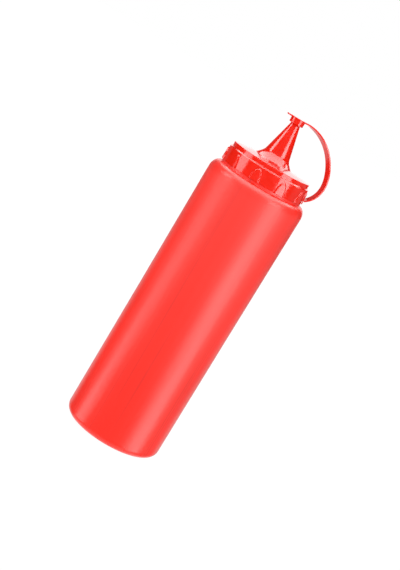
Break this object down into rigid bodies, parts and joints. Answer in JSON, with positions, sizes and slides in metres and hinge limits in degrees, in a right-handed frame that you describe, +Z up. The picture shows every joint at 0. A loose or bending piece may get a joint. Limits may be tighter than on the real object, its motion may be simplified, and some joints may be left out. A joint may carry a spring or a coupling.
{
  "type": "squeeze bottle",
  "caption": "Tall round squeeze bottle with a screw cap, a tapered pouring nozzle and a tip cap held by a looped strap.",
  "frame": {"origin": "middle of the base, on the surface that the bottle stands on", "axes": "+Z up along the bottle's axis, +X towards the strap's loop"},
  "size_m": [0.0746, 0.071, 0.25],
  "materials": {
    "bottle_plastic": "satin blow-moulded soft plastic, red",
    "cap_plastic": "gloss injection-moulded plastic, red"
  },
  "bodies": {
    "root": {"bottle": "bottle_plastic", "screw_cap": "cap_plastic", "tip_cap_strap": "cap_plastic"}
  },
  "joints": []
}
